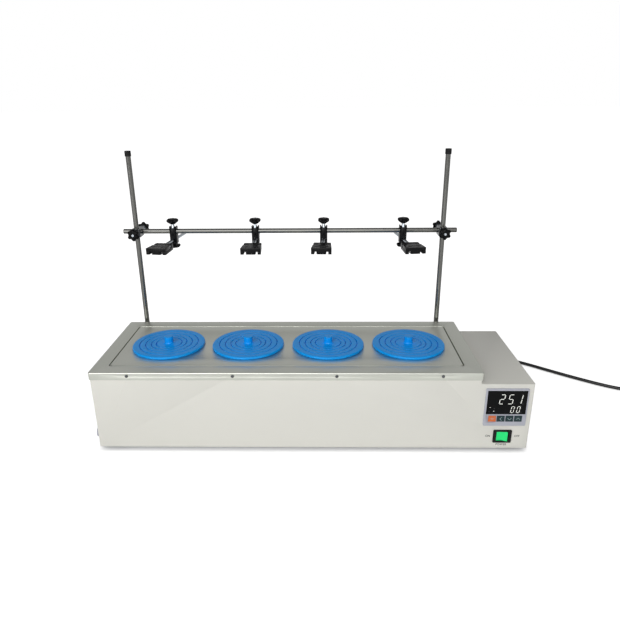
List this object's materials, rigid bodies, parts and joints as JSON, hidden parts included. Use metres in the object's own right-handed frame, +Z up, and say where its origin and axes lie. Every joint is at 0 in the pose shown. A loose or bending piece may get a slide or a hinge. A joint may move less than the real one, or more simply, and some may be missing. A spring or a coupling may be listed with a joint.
{
  "type": "water bath",
  "caption": "Long stainless laboratory water bath with a row of ringed lids, a panel controller and switch at one end, and a rod stand with clamps behind it.",
  "frame": {"origin": "middle of the footprint at bench height, measured without the free cord", "axes": "+X to the right along the bath, +Y to the back, +Z up from the bench"},
  "size_m": [1.2327, 0.4063, 0.5155],
  "materials": {
    "case_paint": "satin",
    "galvanised": "satin",
    "stainless": "satin",
    "rod_steel": "satin",
    "black_rubber": "matte",
    "lid_plastic": "gloss",
    "bezel_plastic": "matte",
    "window": "gloss",
    "key_orange": "satin",
    "key_dark": "satin",
    "black_plastic": "satin",
    "rocker_green": "gloss",
    "cast_zinc": "satin",
    "knob_plastic": "satin",
    "clamp_enamel": "gloss",
    "drain_plastic": "matte",
    "brass": "satin"
  },
  "bodies": {
    "bath": {"case": "case_paint", "base_plate": "galvanised", "tank": "stainless", "heater": "stainless", "shelf": "stainless", "temperature_probe": "stainless", "feet": "black_rubber", "case_screws": "stainless", "controller": "bezel_plastic", "display_window": "window", "switch_frame": "black_plastic", "uprights": "rod_steel", "rod_caps": "black_rubber", "rod_brackets": "cast_zinc", "cord_gland": "black_rubber", "power_cord": "black_rubber", "cord_coil": "black_rubber", "power_plug": "black_plastic", "drain_spigot": "brass"},
    "deck": {"deck_plate": "stainless"},
    "rocker": {"rocker": "rocker_green"},
    "drain_cap": {"drain_cap": "drain_plastic"},
    "bar": {"crossbar": "rod_steel", "bossheads": "cast_zinc"},
    "lid_1": {"lid_1_rings": "lid_plastic"},
    "lid_1_cap": {"lid_1_cap": "lid_plastic"},
    "lid_2": {"lid_2_rings": "lid_plastic"},
    "lid_2_cap": {"lid_2_cap": "lid_plastic"},
    "lid_3": {"lid_3_rings": "lid_plastic"},
    "lid_3_cap": {"lid_3_cap": "lid_plastic"},
    "lid_4": {"lid_4_rings": "lid_plastic"},
    "lid_4_cap": {"lid_4_cap": "lid_plastic"},
    "key_set": {"key_set": "key_orange"},
    "key_shift": {"key_shift": "key_dark"},
    "key_down": {"key_down": "key_dark"},
    "key_up": {"key_up": "key_dark"},
    "boss_screw_left_front": {"boss_screw_left_front": "knob_plastic"},
    "boss_screw_left_rear": {"boss_screw_left_rear": "knob_plastic"},
    "boss_screw_right_front": {"boss_screw_right_front": "knob_plastic"},
    "boss_screw_right_rear": {"boss_screw_right_rear": "knob_plastic"},
    "clamp_1_holder": {"clamp_1_holder": "clamp_enamel"},
    "clamp_1_stem": {"clamp_1_stem": "clamp_enamel"},
    "clamp_1_jaw": {"clamp_1_jaw": "clamp_enamel"},
    "clamp_1_bar_screw": {"clamp_1_bar_screw": "knob_plastic"},
    "clamp_1_stem_screw": {"clamp_1_stem_screw": "knob_plastic"},
    "clamp_2_holder": {"clamp_2_holder": "clamp_enamel"},
    "clamp_2_stem": {"clamp_2_stem": "clamp_enamel"},
    "clamp_2_jaw": {"clamp_2_jaw": "clamp_enamel"},
    "clamp_2_bar_screw": {"clamp_2_bar_screw": "knob_plastic"},
    "clamp_2_stem_screw": {"clamp_2_stem_screw": "knob_plastic"},
    "clamp_3_holder": {"clamp_3_holder": "clamp_enamel"},
    "clamp_3_stem": {"clamp_3_stem": "clamp_enamel"},
    "clamp_3_jaw": {"clamp_3_jaw": "clamp_enamel"},
    "clamp_3_bar_screw": {"clamp_3_bar_screw": "knob_plastic"},
    "clamp_3_stem_screw": {"clamp_3_stem_screw": "knob_plastic"},
    "clamp_4_holder": {"clamp_4_holder": "clamp_enamel"},
    "clamp_4_stem": {"clamp_4_stem": "clamp_enamel"},
    "clamp_4_jaw": {"clamp_4_jaw": "clamp_enamel"},
    "clamp_4_bar_screw": {"clamp_4_bar_screw": "knob_plastic"},
    "clamp_4_stem_screw": {"clamp_4_stem_screw": "knob_plastic"}
  },
  "joints": [
    {"name": "deck_lift", "type": "slide", "parent": "bath", "child": "deck", "axis": [0, 0, 1], "range_m": [0, 0.08]},
    {"name": "lid_1_lift", "type": "slide", "parent": "deck", "child": "lid_1", "axis": [0, 0, 1], "range_m": [0, 0.06]},
    {"name": "lid_1_cap_lift", "type": "slide", "parent": "lid_1", "child": "lid_1_cap", "axis": [0, 0, 1], "range_m": [0, 0.06]},
    {"name": "lid_2_lift", "type": "slide", "parent": "deck", "child": "lid_2", "axis": [0, 0, 1], "range_m": [0, 0.06]},
    {"name": "lid_2_cap_lift", "type": "slide", "parent": "lid_2", "child": "lid_2_cap", "axis": [0, 0, 1], "range_m": [0, 0.06]},
    {"name": "lid_3_lift", "type": "slide", "parent": "deck", "child": "lid_3", "axis": [0, 0, 1], "range_m": [0, 0.06]},
    {"name": "lid_3_cap_lift", "type": "slide", "parent": "lid_3", "child": "lid_3_cap", "axis": [0, 0, 1], "range_m": [0, 0.06]},
    {"name": "lid_4_lift", "type": "slide", "parent": "deck", "child": "lid_4", "axis": [0, 0, 1], "range_m": [0, 0.06]},
    {"name": "lid_4_cap_lift", "type": "slide", "parent": "lid_4", "child": "lid_4_cap", "axis": [0, 0, 1], "range_m": [0, 0.06]},
    {"name": "rocker_tip", "type": "hinge", "parent": "bath", "child": "rocker", "pos_m": [0.34975, -0.16115, 0.033], "axis": [0, 0, 1], "range_deg": [0, 18]},
    {"name": "key_set_press", "type": "slide", "parent": "bath", "child": "key_set", "axis": [0, 1, 0], "range_m": [0, 0.001], "stiffness_N_per_m": 400},
    {"name": "key_shift_press", "type": "slide", "parent": "bath", "child": "key_shift", "axis": [0, 1, 0], "range_m": [0, 0.001], "stiffness_N_per_m": 400},
    {"name": "key_down_press", "type": "slide", "parent": "bath", "child": "key_down", "axis": [0, 1, 0], "range_m": [0, 0.001], "stiffness_N_per_m": 400},
    {"name": "key_up_press", "type": "slide", "parent": "bath", "child": "key_up", "axis": [0, 1, 0], "range_m": [0, 0.001], "stiffness_N_per_m": 400},
    {"name": "drain_cap_turn", "type": "hinge", "parent": "bath", "child": "drain_cap", "pos_m": [-0.39225, -0.13765, 0.024], "axis": [-1, 0, 0], "range_deg": [0, 720]},
    {"name": "bar_height", "type": "slide", "parent": "bath", "child": "bar", "axis": [0, 0, 1], "range_m": [-0.12, 0.135]},
    {"name": "boss_screw_left_front_turn", "type": "hinge", "parent": "bar", "child": "boss_screw_left_front", "pos_m": [-0.35775, 0.09435, 0.352], "axis": [0, -1, 0], "range_deg": [0, 360]},
    {"name": "boss_screw_left_rear_turn", "type": "hinge", "parent": "bar", "child": "boss_screw_left_rear", "pos_m": [-0.35775, 0.10735, 0.352], "axis": [0, 1, 0], "range_deg": [0, 360]},
    {"name": "boss_screw_right_front_turn", "type": "hinge", "parent": "bar", "child": "boss_screw_right_front", "pos_m": [0.27125, 0.09435, 0.352], "axis": [0, -1, 0], "range_deg": [0, 360]},
    {"name": "boss_screw_right_rear_turn", "type": "hinge", "parent": "bar", "child": "boss_screw_right_rear", "pos_m": [0.27125, 0.10735, 0.352], "axis": [0, 1, 0], "range_deg": [0, 360]},
    {"name": "clamp_1_along_bar", "type": "slide", "parent": "bar", "child": "clamp_1_holder", "axis": [1, 0, 0], "range_m": [-0.035, 0.035]},
    {"name": "clamp_1_bar_screw_turn", "type": "hinge", "parent": "clamp_1_holder", "child": "clamp_1_bar_screw", "pos_m": [-0.28525, 0.10735, 0.352], "axis": [0, 0, 1], "range_deg": [0, 360]},
    {"name": "clamp_1_stem_screw_turn", "type": "hinge", "parent": "clamp_1_holder", "child": "clamp_1_stem_screw", "pos_m": [-0.28525, 0.10735, 0.334], "axis": [0, 0, -1], "range_deg": [0, 360]},
    {"name": "clamp_1_reach", "type": "slide", "parent": "clamp_1_holder", "child": "clamp_1_stem", "axis": [-0.1392, -0.9903, 0], "range_m": [-0.02, 0.04]},
    {"name": "clamp_1_grip", "type": "hinge", "parent": "clamp_1_stem", "child": "clamp_1_jaw", "pos_m": [-0.29402, 0.04496, 0.3351], "axis": [-0.9903, 0.1392, 0], "range_deg": [0, 35], "stiffness_Nm_per_rad": 0.05, "springref_deg": -17.19},
    {"name": "clamp_2_along_bar", "type": "slide", "parent": "bar", "child": "clamp_2_holder", "axis": [1, 0, 0], "range_m": [-0.035, 0.035]},
    {"name": "clamp_2_bar_screw_turn", "type": "hinge", "parent": "clamp_2_holder", "child": "clamp_2_bar_screw", "pos_m": [-0.11375, 0.10735, 0.352], "axis": [0, 0, 1], "range_deg": [0, 360]},
    {"name": "clamp_2_stem_screw_turn", "type": "hinge", "parent": "clamp_2_holder", "child": "clamp_2_stem_screw", "pos_m": [-0.11375, 0.10735, 0.334], "axis": [0, 0, -1], "range_deg": [0, 360]},
    {"name": "clamp_2_reach", "type": "slide", "parent": "clamp_2_holder", "child": "clamp_2_stem", "axis": [0, -1, 0], "range_m": [-0.02, 0.04]},
    {"name": "clamp_2_grip", "type": "hinge", "parent": "clamp_2_stem", "child": "clamp_2_jaw", "pos_m": [-0.11375, 0.04435, 0.3351], "axis": [-1, 0, 0], "range_deg": [0, 35], "stiffness_Nm_per_rad": 0.05, "springref_deg": -17.19},
    {"name": "clamp_3_along_bar", "type": "slide", "parent": "bar", "child": "clamp_3_holder", "axis": [1, 0, 0], "range_m": [-0.035, 0.035]},
    {"name": "clamp_3_bar_screw_turn", "type": "hinge", "parent": "clamp_3_holder", "child": "clamp_3_bar_screw", "pos_m": [0.02825, 0.10735, 0.352], "axis": [0, 0, 1], "range_deg": [0, 360]},
    {"name": "clamp_3_stem_screw_turn", "type": "hinge", "parent": "clamp_3_holder", "child": "clamp_3_stem_screw", "pos_m": [0.02825, 0.10735, 0.334], "axis": [0, 0, -1], "range_deg": [0, 360]},
    {"name": "clamp_3_reach", "type": "slide", "parent": "clamp_3_holder", "child": "clamp_3_stem", "axis": [-0.0523, -0.9986, 0], "range_m": [-0.02, 0.04]},
    {"name": "clamp_3_grip", "type": "hinge", "parent": "clamp_3_stem", "child": "clamp_3_jaw", "pos_m": [0.02495, 0.04444, 0.3351], "axis": [-0.9986, 0.0523, 0], "range_deg": [0, 35], "stiffness_Nm_per_rad": 0.05, "springref_deg": -17.19},
    {"name": "clamp_4_along_bar", "type": "slide", "parent": "bar", "child": "clamp_4_holder", "axis": [1, 0, 0], "range_m": [-0.035, 0.035]},
    {"name": "clamp_4_bar_screw_turn", "type": "hinge", "parent": "clamp_4_holder", "child": "clamp_4_bar_screw", "pos_m": [0.19225, 0.10735, 0.352], "axis": [0, 0, 1], "range_deg": [0, 360]},
    {"name": "clamp_4_stem_screw_turn", "type": "hinge", "parent": "clamp_4_holder", "child": "clamp_4_stem_screw", "pos_m": [0.19225, 0.10735, 0.334], "axis": [0, 0, -1], "range_deg": [0, 360]},
    {"name": "clamp_4_reach", "type": "slide", "parent": "clamp_4_holder", "child": "clamp_4_stem", "axis": [0.1392, -0.9903, 0], "range_m": [-0.02, 0.04]},
    {"name": "clamp_4_grip", "type": "hinge", "parent": "clamp_4_stem", "child": "clamp_4_jaw", "pos_m": [0.20102, 0.04496, 0.3351], "axis": [-0.9903, -0.1392, 0], "range_deg": [0, 35], "stiffness_Nm_per_rad": 0.05, "springref_deg": -17.19}
  ]
}
